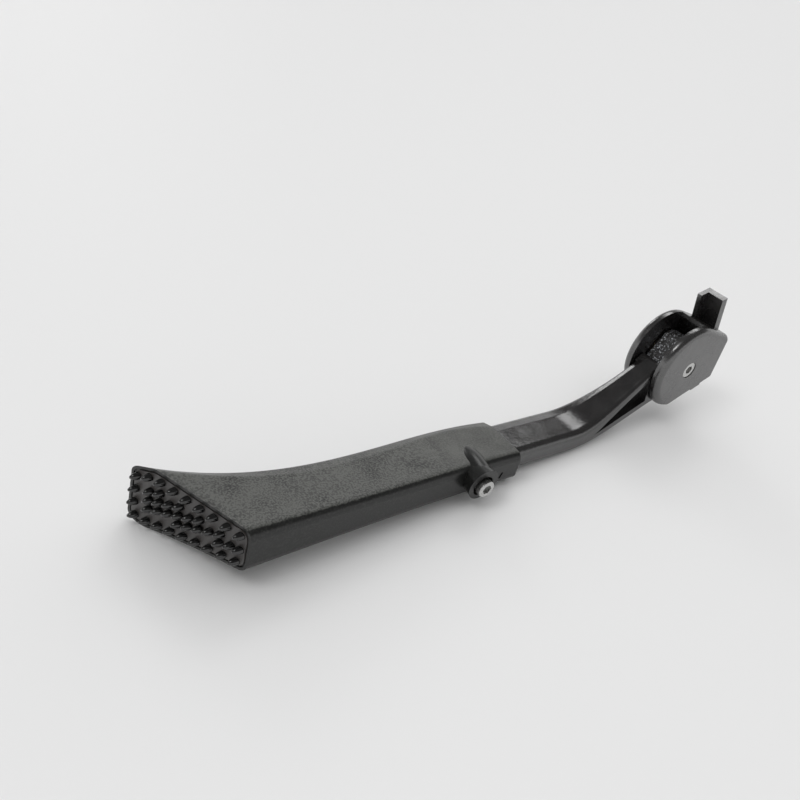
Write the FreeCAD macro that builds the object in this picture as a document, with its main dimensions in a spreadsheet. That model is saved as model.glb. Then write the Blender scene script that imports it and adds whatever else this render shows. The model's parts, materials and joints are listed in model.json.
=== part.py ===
import FreeCAD, Part
import math
import os
from FreeCAD import Placement, Rotation, Vector

# Bicycle kickstand lying on its side: cast clevis bracket, cast leg, plastic length sleeve with a spiked foot.
# Working frame: X runs along the lower leg from foot to head, Y is the pivot's direction, Z the broad face's.
doc = FreeCAD.newDocument("kickstand")
sheet = doc.addObject("Spreadsheet::Sheet", "Sizes")

SIZES = [
    ("leg_half_width", 11.2, "lower leg, reach of the near side"),
    ("leg_far", 17.5, "lower leg, reach of the far side under its bevel"),
    ("leg_flat_far", 8.4, "lower leg, far end of the flat broad face"),
    ("leg_bevel_low", 5.0, "lower leg, height where the bevel ends"),
    ("leg_half_height", 7.0, "lower leg, half thickness"),
    ("leg_corner", 4.6, "lower leg, corner radius"),
    ("leg_tail", 108.0, "leg length inside the sleeve"),
    ("leg_straight", 48.0, "straight leg beyond the sleeve"),
    ("slide_clearance", 0.3, "gap between leg and sleeve bore"),
    ("sleeve_half_width", 15.8, "sleeve, reach of the near side at its open end"),
    ("sleeve_wall", 2.7, "sleeve wall beside the leg's far side"),
    ("sleeve_flat_far", 11.2, "sleeve, far end of the flat broad face"),
    ("sleeve_bevel_drop", 2.7, "sleeve, drop of the far bevel"),
    ("sleeve_end_round", 10.0, "sleeve, rounding of the far shoulder at the open end"),
    ("sleeve_half_height", 9.2, "sleeve, half thickness at its open end"),
    ("sleeve_corner", 4.6, "sleeve, corner radius"),
    ("sleeve_bore_depth", 142.0, "depth of the sleeve bore"),
    ("foot_near", 17.6, "foot, reach of the short side"),
    ("foot_far", 52.0, "foot, reach of the flared side"),
    ("foot_top", 11.6, "foot, height of the broad face"),
    ("foot_drop", 33.0, "foot, drop of the flared side"),
    ("tread_start", 167.0, "distance of the tread's short side from the sleeve's open end"),
    ("tread_skew", 22.0, "turn of the tread in the broad face, degrees"),
    ("tread_lean", 1.0, "lean of the tread, degrees"),
    ("pad_inset", 2.4, "rim and groove left round the tread pad"),
    ("pad_groove", 0.9, "width and depth of the groove round the tread pad"),
    ("pad_depth", 2.0, "thickness of the tread pad"),
    ("pad_clearance", 0.05, "fit of the tread pad in its pocket"),
    ("spike_base", 2.15, "spike radius at its foot"),
    ("spike_tip", 0.6, "spike radius at its point"),
    ("spike_length", 4.6, "spike length"),
    ("boss_x", 31.5, "clamp boss distance from the open end"),
    ("boss_radius", 9.8, "clamp boss radius at its ring"),
    ("boss_lift", 0.8, "clamp boss height over the leg's middle"),
    ("boss_reach", 22.0, "clamp boss ring distance from the middle"),
    ("screw_radius", 3.0, "clamp screw shank radius"),
    ("screw_head_radius", 5.0, "clamp screw head radius"),
    ("screw_head_length", 6.0, "clamp screw head length"),
    ("screw_proud", 3.2, "clamp screw head standing out of its boss"),
    ("counterbore_clearance", 1.4, "gap round the clamp screw head"),
    ("insert_radius", 4.6, "clamp insert radius"),
    ("insert_length", 4.6, "clamp insert length"),
    ("groove_depth", 2.2, "leg groove for the clamp screw's point"),
    ("groove_half", 3.6, "leg groove half width"),
    ("pivot_x", 134.2, "pivot distance from the open end"),
    ("pivot_z", 39.2, "pivot height over the lower leg's middle"),
    ("pin_radius", 4.0, "pivot pin radius"),
    ("pin_head_radius", 5.2, "pivot pin head radius"),
    ("pin_head_depth", 3.2, "recess depth for the pivot pin's head and nut"),
    ("pin_sunk", 0.4, "pin head and nut below the cheek's face"),
    ("nut_radius", 7.3, "pivot nut radius over its corners"),
    ("socket_radius", 2.887, "hexagon socket radius over its corners"),
    ("running_fit", 0.05, "radial fit of the pin in the bushes"),
    ("knuckle_radius", 16.0, "leg knuckle radius"),
    ("knuckle_half", 8.2, "leg knuckle half width"),
    ("knuckle_flat", 12.6, "rough flat of the knuckle, distance from the pivot"),
    ("knuckle_flat_turn", 34.6, "rough flat of the knuckle, turn up from the leg's direction, degrees"),
    ("bush_wall", 1.5, "bush wall thickness"),
    ("bush_flange", 0.8, "bush flange thickness"),
    ("bush_flange_radius", 8.5, "bush flange radius"),
    ("cheek_gap", 0.3, "gap between bush flange and cheek"),
    ("cheek_thickness", 5.5, "clevis cheek thickness"),
    ("cheek_radius", 28.4, "clevis cheek radius"),
    ("cheek_round", 3.8, "rounding of the cheek's rim"),
    ("knuckle_gap", 1.0, "gap between knuckle and clevis web"),
    ("face_x", 163.0, "mount face distance from the open end"),
    ("face_low", 29.5, "mount face lower edge"),
    ("face_high", 59.5, "mount face upper edge"),
    ("tab_half", 7.0, "stay tab half width"),
    ("tab_thickness", 4.6, "stay tab thickness"),
    ("tab_length", 27.0, "stay tab length"),
    ("tab_flange", 6.4, "stay tab flange, reach toward the leg"),
    ("tab_flange_thickness", 3.0, "stay tab flange thickness"),
    ("tab_lean", 15.0, "stay tab lean toward the leg, degrees"),
    ("mount_half_pitch", 9.0, "half of the mount hole pitch"),
    ("mount_hole_radius", 2.5, "mount hole radius before its thread"),
    ("mount_hole_depth", 11.0, "mount hole depth"),
    ("mount_hole_z", 49.5, "mount hole height"),
    ("plunger_radius", 3.3, "detent plunger radius"),
    ("plunger_fit", 0.06, "radial fit of the plunger"),
    ("plunger_length", 5.4, "detent plunger length"),
    ("plunger_bore", 9.3, "depth of the plunger's bore from the web"),
    ("fold_angle", 72.0, "leg fold, degrees"),
    ("rest_roll", 0.0, "roll of the stand as it lies, degrees"),
    ("rest_rise", 4.70, "dip of the head as it lies, degrees"),
]
for row, (alias, value, note) in enumerate(SIZES, start=1):
    sheet.set("A%d" % row, note)
    sheet.set("B%d" % row, str(value))
    sheet.setAlias("B%d" % row, alias)
doc.recompute()


def size(alias):
    return float(sheet.get(alias))


def bind(feature, prop, formula):
    feature.setExpression(prop, formula)


PIVOT = Vector(size("pivot_x"), 0, size("pivot_z"))
ACROSS = Rotation(Vector(1, 0, 0), 90)
PROFILE = Rotation(Vector(1, 0, 0), Vector(0, 0, 1), Vector(0, -1, 0))
SECTION = Rotation(Vector(0, 1, 0), Vector(0, 0, 1), Vector(1, 0, 0))


def new_body(label):
    body = doc.addObject("PartDesign::Body", label)
    body.Label = label
    return body


def primitive(body, kind, name, place, **formulas):
    feature = body.newObject("PartDesign::" + kind, name)
    feature.Placement = place
    for prop, formula in formulas.items():
        bind(feature, prop, formula)
    doc.recompute()
    return feature


def new_sketch(body, name, place, role):
    """Sketch on one of the body's own origin planes, set off from it to its place."""
    plane = next(item for item in body.Origin.OriginFeatures if item.Role == role)
    plane_turn = {"XZ_Plane": PROFILE, "YZ_Plane": SECTION, "XY_Plane": Rotation()}[role]
    sketch = body.newObject("Sketcher::SketchObject", name)
    sketch.AttachmentSupport = [(plane, "")]
    sketch.MapMode = "FlatFace"
    sketch.AttachmentOffset = Placement(Vector(0, 0, 0), plane_turn).inverse().multiply(place)
    return sketch


def polygon(body, name, place, points):
    sketch = new_sketch(body, name, place, "XZ_Plane")
    spots = [Vector(x, y, 0) for x, y in points]
    for start, end in zip(spots, spots[1:] + spots[:1]):
        sketch.addGeometry(Part.LineSegment(start, end), False)
    doc.recompute()
    return sketch


def rounded_outline(body, name, place, corners, radius):
    """Closed outline of lines joined by arcs, corners given anticlockwise."""
    sketch = new_sketch(body, name, place, "YZ_Plane")
    spots = [Vector(x, y, 0) for x, y in corners]
    count = len(spots)
    starts = []
    ends = []
    for index, spot in enumerate(spots):
        back = (spots[index - 1] - spot).normalize()
        ahead = (spots[(index + 1) % count] - spot).normalize()
        half = back.getAngle(ahead) / 2
        reach = radius / math.tan(half)
        middle = spot + (back + ahead).normalize() * (radius / math.sin(half))
        starts.append(spot + back * reach)
        ends.append(spot + ahead * reach)
        inner = middle + (spot - middle).normalize() * radius
        sketch.addGeometry(Part.Arc(starts[-1], inner, ends[-1]), False)
    for index in range(count):
        sketch.addGeometry(Part.LineSegment(ends[index], starts[(index + 1) % count]), False)
    doc.recompute()
    return sketch


def pad(body, name, sketch, formula, both_sides=False):
    feature = body.newObject("PartDesign::Pad", name)
    feature.Profile = sketch
    feature.Midplane = both_sides
    bind(feature, "Length", formula)
    doc.recompute()
    return feature


def pocket(body, name, sketch, formula, both_sides=False):
    before = body.Shape.Volume
    feature = body.newObject("PartDesign::Pocket", name)
    feature.Profile = sketch
    feature.Midplane = both_sides
    bind(feature, "Length", formula)
    doc.recompute()
    if body.Shape.Volume > before - 1e-3:
        raise ValueError(name + " removes nothing")
    return feature


def loft(body, name, sketches, ruled=False):
    feature = body.newObject("PartDesign::AdditiveLoft", name)
    feature.Profile = sketches[0]
    feature.Sections = sketches[1:]
    feature.Ruled = ruled
    doc.recompute()
    return feature


def round_edges(body, name, radius_formula, chosen):
    base = body.Tip
    names = ["Edge%d" % (n + 1) for n, edge in enumerate(base.Shape.Edges) if chosen(edge)]
    feature = body.newObject("PartDesign::Fillet", name)
    feature.Base = (base, names)
    bind(feature, "Radius", radius_formula)
    doc.recompute()
    return feature


def bevelled(near, far, flat_far, low_near, low_far, bevel_low, top):
    """Section corners of a bar whose broad face ends in a far bevel."""
    return [(-near, low_near), (far, low_far), (far, bevel_low), (flat_far, top), (-near, top)]


# Bracket: D-shaped cheeks on a web with the mount face, a stay tab and a low pad.
bracket = new_body("bracket")
slot_half = size("knuckle_half") + size("bush_flange") + size("cheek_gap")
outer_half = slot_half + size("cheek_thickness")
slot_formula = "Sizes.knuckle_half + Sizes.bush_flange + Sizes.cheek_gap"


def on_cheek(degrees):
    turn = math.radians(degrees)
    reach = size("cheek_radius")
    return Vector(PIVOT.x + reach * math.cos(turn), PIVOT.z + reach * math.sin(turn), 0)


outline = new_sketch(bracket, "bracket_outline", Placement(Vector(0, 0, 0), PROFILE), "XZ_Plane")
face_x = size("face_x")
top_reach = Vector(face_x - PIVOT.x, size("face_high") - PIVOT.z, 0)
top_turn = math.atan2(top_reach.y, top_reach.x) + math.acos(size("cheek_radius") / top_reach.Length)
arc_start, arc_middle, arc_end = on_cheek(math.degrees(top_turn)), on_cheek(162), on_cheek(236)
toe = Vector(PIVOT.x - 0.26 * size("cheek_radius"), PIVOT.z - 0.87 * size("cheek_radius"), 0)
turns = [arc_end, toe, Vector(face_x, size("face_low"), 0), Vector(face_x, size("face_high"), 0), arc_start]
outline.addGeometry(Part.Arc(arc_start, arc_middle, arc_end), False)
for start, end in zip(turns, turns[1:]):
    outline.addGeometry(Part.LineSegment(start, end), False)
doc.recompute()
pad(bracket, "bracket_block", outline, "2 * (%s + Sizes.cheek_thickness)" % slot_formula, True)
round_edges(bracket, "bracket_rim", "Sizes.cheek_round",
            lambda e: isinstance(e.Curve, Part.Circle) and e.BoundBox.YLength < 0.01)
web_radius = size("knuckle_radius") + size("knuckle_gap")
SLOT = [(-3.0, -2.6), (0.4, -2.6), (0.61, -1.07), (0.92, -0.41), (1.0, -0.18), (1.0, 0.18), (0.95, 0.41),
        (0.31, 1.49), (0.27, 2.4), (-3.0, 2.4)]
slot = polygon(bracket, "slot_outline", Placement(Vector(0, 0, 0), PROFILE),
               [(PIVOT.x + x * web_radius, PIVOT.z + z * web_radius) for x, z in SLOT])
pocket(bracket, "slot", slot, "2 * (%s)" % slot_formula, True)
tab_place = Placement(Vector(face_x - 6.2, -size("tab_half"), size("face_high") - 3),
                      Rotation(Vector(0, 1, 0), -size("tab_lean")))
primitive(bracket, "AdditiveBox", "stay_tab", tab_place, Length="Sizes.tab_thickness",
          Width="2 * Sizes.tab_half", Height="Sizes.tab_length")
flange_spot = Vector(-size("tab_flange"), 2 * size("tab_half") - size("tab_flange_thickness"), 0)
primitive(bracket, "AdditiveBox", "stay_flange", Placement(tab_place.multVec(flange_spot), tab_place.Rotation),
          Length="Sizes.tab_flange + Sizes.tab_thickness", Width="Sizes.tab_flange_thickness",
          Height="Sizes.tab_length")
low_place = Placement(Vector(face_x - 14, -outer_half + 1, size("face_low") - 9), Rotation(Vector(0, 1, 0), -22))
primitive(bracket, "AdditiveBox", "low_pad", low_place, Length="8", Height="4",
          Width="2 * (%s + Sizes.cheek_thickness) - 2" % slot_formula)
pin_bore = Placement(PIVOT + Vector(0, outer_half + 1, 0), ACROSS)
primitive(bracket, "SubtractiveCylinder", "pin_bore", pin_bore, Radius="Sizes.pin_radius + Sizes.running_fit",
          Height="2 * (%s + Sizes.cheek_thickness) + 2" % slot_formula)
head_depth = size("pin_head_depth")
primitive(bracket, "SubtractiveCylinder", "pin_head_recess",
          Placement(PIVOT + Vector(0, -outer_half + head_depth, 0), ACROSS),
          Radius="Sizes.pin_head_radius + 0.3", Height="10")
primitive(bracket, "SubtractiveCylinder", "pin_nut_recess",
          Placement(PIVOT + Vector(0, outer_half + 10, 0), ACROSS), Radius="Sizes.nut_radius + 0.5",
          Height="10 + Sizes.pin_head_depth")
web_x = PIVOT.x + web_radius
along = Rotation(Vector(0, 1, 0), 90)
primitive(bracket, "SubtractiveCylinder", "plunger_bore", Placement(Vector(web_x - 3, 0, PIVOT.z), along),
          Radius="Sizes.plunger_radius + Sizes.plunger_fit", Height="Sizes.plunger_bore + 3")
for sign, name in ((-1, "mount_hole_a"), (1, "mount_hole_b")):
    spot = Vector(face_x - size("mount_hole_depth"), sign * size("mount_half_pitch"), size("mount_hole_z"))
    primitive(bracket, "SubtractiveCylinder", name, Placement(spot, along), Radius="Sizes.mount_hole_radius",
              Height="Sizes.mount_hole_depth + 1")

# Leg: straight part in the sleeve, then a widening bend up to the knuckle.
leg = new_body("leg")


def leg_outline(spare):
    """Section of the straight leg, grown by a clearance."""
    return bevelled(size("leg_half_width") + spare, size("leg_far") + spare, size("leg_flat_far"),
                    -size("leg_half_height") - spare, -size("leg_half_height") - spare,
                    size("leg_bevel_low") + spare, size("leg_half_height") + spare)


straight = rounded_outline(leg, "leg_section", Placement(Vector(-size("leg_tail"), 0, 0), SECTION),
                           leg_outline(0), size("leg_corner"))
pad(leg, "leg_straight_part", straight, "Sizes.leg_tail + Sizes.leg_straight")
bend = size("pivot_x") - size("leg_straight")
corner = size("leg_corner")
half = size("leg_half_height")
# Each station: share of the bend, share of the pivot's height, turn, near, far, flat end, half height, corner.
STATIONS = [(0.0, 0.0, 0, size("leg_half_width"), size("leg_far"), size("leg_flat_far"), half, corner),
            (0.162, 0.041, 11, 10.9, 16.4, 8.0, 1.04 * half, 0.96 * corner),
            (0.325, 0.158, 23, 10.2, 14.0, 6.8, 1.23 * half, 0.9 * corner),
            (0.534, 0.388, 27, 9.2, 10.2, 4.8, 1.57 * half, 0.75 * corner),
            (0.789, 0.689, 29, size("knuckle_half"), size("knuckle_half"), 3.4, 2.03 * half, 0.6 * corner)]
bevel_drop = half - size("leg_bevel_low")
sections = []
for number, (over, rise, turn, near, reach, flat_far, tall, corner) in enumerate(STATIONS):
    spot = Vector(size("leg_straight") + over * bend, 0, rise * size("pivot_z"))
    place = Placement(spot, Rotation(Vector(0, 1, 0), -turn).multiply(SECTION))
    outline = bevelled(near, reach, flat_far, -tall, -tall, tall - bevel_drop, tall)
    sections.append(rounded_outline(leg, "leg_station_%d" % number, place, outline, corner))
loft(leg, "leg_bend", sections)
primitive(leg, "AdditiveCylinder", "knuckle", Placement(PIVOT + Vector(0, size("knuckle_half"), 0), ACROSS),
          Radius="Sizes.knuckle_radius", Height="2 * Sizes.knuckle_half")
flank = polygon(leg, "knuckle_flank", Placement(Vector(0, 0, 0), PROFILE),
                [(112, 24), (122, 15.2), (133, 24), (131, 54.8), (122.5, 44.5), (113, 41.0), (109, 37.6)])
pad(leg, "knuckle_neck", flank, "2 * Sizes.knuckle_half", True)
for sign, name in ((-1, "pocket_near"), (1, "pocket_far")):
    turned = PROFILE if sign < 0 else Rotation(Vector(-1, 0, 0), Vector(0, 0, 1), Vector(0, 1, 0))
    corners = [(69, 1.8), (110.5, 16.6), (107, 33)]
    if sign > 0:
        corners = [(-x, z) for x, z in corners]
    outline = polygon(leg, name + "_outline", Placement(Vector(0, sign * 18, 0), turned), corners)
    pocket(leg, name, outline, "13.6")
flat_turn = Rotation(Vector(0, 1, 0), size("knuckle_flat_turn"))
flat_spot = flat_turn.multVec(Vector(-size("knuckle_flat") - 12, -12, -9.0))
primitive(leg, "SubtractiveBox", "knuckle_rough_flat", Placement(PIVOT + flat_spot, flat_turn),
          Length="12", Width="24", Height="40")
groove_spot = Vector(-78, -size("leg_half_width") - 1, size("boss_lift") - size("groove_half"))
groove_place = Placement(groove_spot, Rotation())
primitive(leg, "SubtractiveBox", "clamp_groove", groove_place, Length="82", Width="Sizes.groove_depth + 1",
          Height="2 * Sizes.groove_half")
bush_radius_formula = "Sizes.pin_radius + Sizes.running_fit + Sizes.bush_wall"
primitive(leg, "SubtractiveCylinder", "bush_bore", Placement(PIVOT + Vector(0, 20, 0), ACROSS),
          Radius=bush_radius_formula, Height="40")
for turn, name in ((0.0, "detent_open"), (size("fold_angle"), "detent_folded")):
    reach = size("knuckle_radius") + 2.6
    turned = math.radians(turn)
    spot = PIVOT + Vector(reach * math.cos(turned), 0, reach * math.sin(turned))
    primitive(leg, "SubtractiveSphere", name, Placement(spot, Rotation()), Radius="Sizes.plunger_radius + 0.35")

# Sleeve: lofted round-cornered tube that flares into the foot, cut at the skewed tread.
sleeve = new_body("sleeve")
far = size("foot_far")
tail = size("tread_start")
side = size("sleeve_half_width")
wide = size("leg_far") + size("slide_clearance") + size("sleeve_wall")
flat = size("sleeve_flat_far")
thick = size("sleeve_half_height")
drop = size("sleeve_bevel_drop")
# Each station: X, near, far, flat end, top, near underside, far underside, bevel drop, corner.
FOOT = [(0.0, side, wide, flat, thick, -thick, -thick, drop, size("sleeve_corner")),
        (-0.54 * tail, side + 0.8, wide, flat, thick + 1.2, -thick - 1.2, -thick - 1.2, drop, 4.7),
        (-tail + 44, side + 1.4, wide + 0.8, flat + 0.6, thick + 1.8, -thick - 2.0, -thick - 3.0, drop, 4.8),
        (-tail + 8, size("foot_near"), 0.56 * far, 0.4 * far, size("foot_top"), -12.6, -0.54 * size("foot_drop"),
         1.4 * drop, 5.4),
        (-tail - 34, size("foot_near") + 0.4, far + 5, far - 6, size("foot_top"), -14.0, -size("foot_drop"),
         2.4 * drop, 6.5)]
sections = []
for number, (x, near, reach, flat_far, top, low_near, low_far, fall, corner) in enumerate(FOOT):
    outline = bevelled(near, reach, flat_far, low_near, low_far, top - fall, top)
    place = Placement(Vector(x, 0, 0), SECTION)
    sections.append(rounded_outline(sleeve, "sleeve_station_%d" % number, place, outline, corner))
loft(sleeve, "sleeve_loft", sections)
screw_axis = Rotation(Vector(1, 0, 0), -90)
boss_spot = Vector(-size("boss_x"), -size("boss_reach"), size("boss_lift"))
boss_place = Placement(boss_spot + Vector(0, 0, 1), screw_axis.multiply(Rotation(Vector(1, 0, 0), 4)))
primitive(sleeve, "AdditiveCone", "clamp_boss", boss_place, Radius1="Sizes.boss_radius",
          Radius2="0.62 * Sizes.boss_radius", Height="Sizes.boss_reach - 2")
shoulder = new_sketch(sleeve, "shoulder_outline", Placement(), "XY_Plane")
turn_in = size("sleeve_end_round")
inner = size("leg_far") + size("slide_clearance") + 0.6
shoulder_start = Vector(-turn_in, wide + 1.2, 0)
shoulder_end = Vector(0.5, inner, 0)
rounding = Part.Arc(shoulder_start, Vector(-0.3 * turn_in, wide - 0.5, 0), shoulder_end)
shoulder.addGeometry(rounding, False)
spots = [shoulder_end, Vector(6, inner, 0), Vector(6, wide + 8, 0), Vector(-turn_in, wide + 8, 0), shoulder_start]
for start, end in zip(spots, spots[1:]):
    shoulder.addGeometry(Part.LineSegment(start, end), False)
doc.recompute()
pocket(sleeve, "shoulder_rounding", shoulder, "60", True)
bore = rounded_outline(sleeve, "bore_section", Placement(Vector(0, 0, 0), SECTION),
                       leg_outline(size("slide_clearance")), size("leg_corner"))
pocket(sleeve, "sleeve_bore", bore, "Sizes.sleeve_bore_depth")
tread_turn = Rotation(Vector(0, 0, 1), size("tread_skew")).multiply(Rotation(Vector(0, 1, 0), size("tread_lean")))
tread_spot = Vector(-tail, -size("foot_near"), size("foot_top"))
cut_place = Placement(tread_spot + tread_turn.multVec(Vector(-90, -60, -90)), tread_turn)
primitive(sleeve, "SubtractiveBox", "tread_cut", cut_place, Length="90", Width="180", Height="180")
head_seat = size("boss_reach") + size("screw_proud") - size("screw_head_length")
mouth = Placement(boss_spot - Vector(0, 5, 0), screw_axis)
primitive(sleeve, "SubtractiveCylinder", "head_counterbore", mouth,
          Radius="Sizes.screw_head_radius + Sizes.counterbore_clearance",
          Height="5 + Sizes.screw_head_length - Sizes.screw_proud")
primitive(sleeve, "SubtractiveCylinder", "insert_bore", mouth,
          Radius="Sizes.insert_radius", Height="5 + Sizes.boss_reach - Sizes.leg_half_width + 2")
slit_place = Placement(Vector(-13.4, -size("sleeve_half_width") - 0.6, -4.2), Rotation(Vector(0, 1, 0), 20))
primitive(sleeve, "SubtractiveBox", "clamp_slit", slit_place, Length="1.4", Width="2.6", Height="4")
tread_normal = tread_turn.multVec(Vector(-1, 0, 0))
tread_face = None
for face in sleeve.Shape.Faces:
    flat = isinstance(face.Surface, Part.Plane)
    if flat and abs(face.normalAt(0, 0).dot(tread_normal)) > 0.9999 and face.Area > 500:
        tread_face = face

# Tread pad: inlaid plate whose spikes run along the leg.
def tread_loop(inset):
    """Smooth closed curve that follows the tread's edge at a distance."""
    spots = tread_face.OuterWire.makeOffset2D(-inset).discretize(41)[:-1]
    curve = Part.BSplineCurve()
    curve.interpolate(spots, PeriodicFlag=True)
    return Part.Face(Part.Wire(curve.toShape()))


press = Vector(1, 0, 0)
pad_plate = tread_loop(size("pad_inset")).extrude(press * size("pad_depth"))
seat_depth = size("pad_depth") + size("pad_clearance")
pad_seat = tread_loop(size("pad_inset") - size("pad_clearance")).extrude(press * seat_depth)
groove = tread_loop(size("pad_inset") - size("pad_groove")).extrude(press * size("pad_groove"))
pad_seat = pad_seat.fuse(groove)
seat = doc.addObject("Part::Feature", "tread_seat")
seat.Shape = pad_seat
spike_ways = Vector(-1, 0, 0)


def spike_at(spot):
    base = spot - spike_ways * 1.2
    return Part.makeCone(size("spike_base"), size("spike_tip"), size("spike_length") + 1.2, base, spike_ways)


ring = tread_loop(size("pad_inset") + 1.1 * size("spike_base")).OuterWire
spikes = [spike_at(spot) for spot in ring.discretize(22)[:-1]]
field = tread_loop(size("pad_inset") + 3.3 * size("spike_base"))
tread_across = tread_turn.multVec(Vector(0, 1, 0))
tread_down = tread_turn.multVec(Vector(0, 0, 1))
column_pitch = 2.9 * size("spike_base")
row_pitch = 2.5 * size("spike_base")
middle = field.CenterOfMass
for column in range(-6, 7):
    for row in range(-6, 7):
        shift = 0.5 * row_pitch if column % 2 else 0.0
        spot = middle + tread_across * (column * column_pitch) + tread_down * (row * row_pitch + shift)
        if field.isInside(spot, 0.01, True):
            spikes.append(spike_at(spot))
tread = doc.addObject("Part::Feature", "tread_pad")
tread.Label = "tread_pad"
tread.Shape = pad_plate.fuse(spikes).removeSplitter()
boolean = sleeve.newObject("PartDesign::Boolean", "tread_pocket")
seat_body = new_body("seat_tool")
seat_base = seat_body.newObject("PartDesign::FeatureBase", "seat_base")
seat_base.BaseFeature = seat
seat_body.BaseFeature = seat
boolean.Type = "Cut"
boolean.Group = [seat_body]
doc.recompute()

# Clamp screw, its threaded insert, and the pivot's pin, nut and bushes.
clamp_screw = new_body("clamp_screw")
head_place = Placement(boss_spot - Vector(0, size("screw_proud"), 0), screw_axis)
primitive(clamp_screw, "AdditiveCylinder", "screw_head", head_place, Radius="Sizes.screw_head_radius",
          Height="Sizes.screw_head_length")
shank_end = size("leg_half_width") - size("groove_depth") + 0.15
shank_place = Placement(Vector(-size("boss_x"), -head_seat, size("boss_lift")), screw_axis)
primitive(clamp_screw, "AdditiveCylinder", "screw_shank", shank_place, Radius="Sizes.screw_radius",
          Height="%.3f" % (head_seat - shank_end))
round_edges(clamp_screw, "screw_head_edge", "0.5",
            lambda e: abs(e.BoundBox.YMax + size("boss_reach") + size("screw_proud")) < 0.01)


def hexagon(corner_radius):
    turns = [math.radians(60 * number) for number in range(6)]
    return [(corner_radius * math.cos(turn), corner_radius * math.sin(turn)) for turn in turns]


socket_place = Placement(head_place.Base, PROFILE)
socket = polygon(clamp_screw, "screw_socket_outline", socket_place, hexagon(size("socket_radius")))
pocket(clamp_screw, "screw_socket", socket, "3")

clamp_insert = new_body("clamp_insert")
insert_start = size("leg_half_width") + size("slide_clearance") + 0.4
insert_spot = Vector(-size("boss_x"), -insert_start - size("insert_length"), size("boss_lift"))
insert_place = Placement(insert_spot, screw_axis)
primitive(clamp_insert, "AdditiveCylinder", "insert_body", insert_place, Radius="Sizes.insert_radius",
          Height="Sizes.insert_length")
primitive(clamp_insert, "SubtractiveCylinder", "insert_thread", insert_place,
          Radius="Sizes.screw_radius + 0.02", Height="Sizes.insert_length")

pivot_pin = new_body("pivot_pin")
pin_top = outer_half - size("pin_sunk")
primitive(pivot_pin, "AdditiveCylinder", "pin_head",
          Placement(PIVOT + Vector(0, -outer_half + head_depth, 0), ACROSS), Radius="Sizes.pin_head_radius",
          Height="Sizes.pin_head_depth - Sizes.pin_sunk")
primitive(pivot_pin, "AdditiveCylinder", "pin_shank", Placement(PIVOT + Vector(0, pin_top, 0), ACROSS),
          Radius="Sizes.pin_radius", Height="%.2f" % (pin_top + outer_half - head_depth))
socket_place = Placement(PIVOT + Vector(0, -outer_half + size("pin_sunk"), 0), PROFILE)
socket = polygon(pivot_pin, "pin_socket_outline", socket_place, hexagon(size("socket_radius")))
pocket(pivot_pin, "pin_socket", socket, "2.2")

pivot_nut = new_body("pivot_nut")
nut_place = Placement(PIVOT + Vector(0, outer_half - size("pin_sunk"), 0), PROFILE)
nut_outline = polygon(pivot_nut, "nut_outline", nut_place, hexagon(size("nut_radius")))
pad(pivot_nut, "nut_body", nut_outline, "Sizes.pin_head_depth - Sizes.pin_sunk")
primitive(pivot_nut, "SubtractiveCylinder", "nut_thread", pin_bore, Radius="Sizes.pin_radius + 0.02", Height="30")

for sign, label in ((-1, "bush_near"), (1, "bush_far")):
    bush = new_body(label)
    turn = Rotation(Vector(1, 0, 0), 90 * sign)
    edge = sign * size("knuckle_half")
    primitive(bush, "AdditiveCylinder", label + "_barrel", Placement(PIVOT + Vector(0, edge, 0), turn),
              Radius=bush_radius_formula, Height="0.9 * Sizes.knuckle_half")
    primitive(bush, "AdditiveCylinder", label + "_flange",
              Placement(PIVOT + Vector(0, edge + sign * size("bush_flange"), 0), turn),
              Radius="Sizes.bush_flange_radius", Height="Sizes.bush_flange")
    primitive(bush, "SubtractiveCylinder", label + "_bore",
              Placement(PIVOT + Vector(0, edge + sign * 5, 0), turn),
              Radius="Sizes.pin_radius + Sizes.running_fit", Height="30")

# Detent plunger with a round nose and the coil spring behind it.
plunger = new_body("detent_plunger")
nose = web_x - size("knuckle_gap") + 0.25
primitive(plunger, "AdditiveCylinder", "plunger_barrel", Placement(Vector(nose + 1.5, 0, PIVOT.z), along),
          Radius="Sizes.plunger_radius", Height="Sizes.plunger_length - 1.5")
primitive(plunger, "AdditiveCone", "plunger_nose", Placement(Vector(nose, 0, PIVOT.z), along),
          Radius1="0.5 * Sizes.plunger_radius", Radius2="Sizes.plunger_radius", Height="1.5")
spring_start = nose + size("plunger_length") + 0.62
spring_end = web_x + size("plunger_bore") - 0.62
spring_path = doc.addObject("Part::Helix", "spring_path")
spring_path.Pitch = (spring_end - spring_start) / 3
spring_path.Height = spring_end - spring_start
spring_path.Radius = size("plunger_radius") - 0.9
spring_path.Placement = Placement(Vector(spring_start, 0, PIVOT.z), along)
doc.recompute()
start = spring_path.Shape.Edges[0]
head_point = start.valueAt(start.FirstParameter)
wire = Part.Wire(Part.Circle(head_point, start.tangentAt(start.FirstParameter), 0.5).toShape())
spring = doc.addObject("Part::Feature", "detent_spring")
spring.Label = "detent_spring"
spring.Shape = Part.Wire(spring_path.Shape.Edges).makePipeShell([wire], True, True)

# The stand lies on its boss, leg and foot: every piece takes the same turn, with the floor at Z zero.
rest_turn = Rotation(Vector(0, 1, 0), size("rest_rise")).multiply(Rotation(Vector(1, 0, 0), size("rest_roll")))
pieces = [bracket, leg, sleeve, tread, clamp_screw, clamp_insert, pivot_pin, pivot_nut,
          doc.getObject("bush_near"), doc.getObject("bush_far"), plunger, spring]
turned = Part.makeCompound([piece.Shape for piece in pieces])
turned.Placement = Placement(Vector(0, 0, 0), rest_turn)
bounds = turned.optimalBoundingBox(True, False)
shift = Vector(-bounds.Center.x, -bounds.Center.y, -bounds.ZMin)
for piece in pieces:
    piece.Placement = Placement(shift, rest_turn).multiply(piece.Placement)
doc.recompute()

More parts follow.
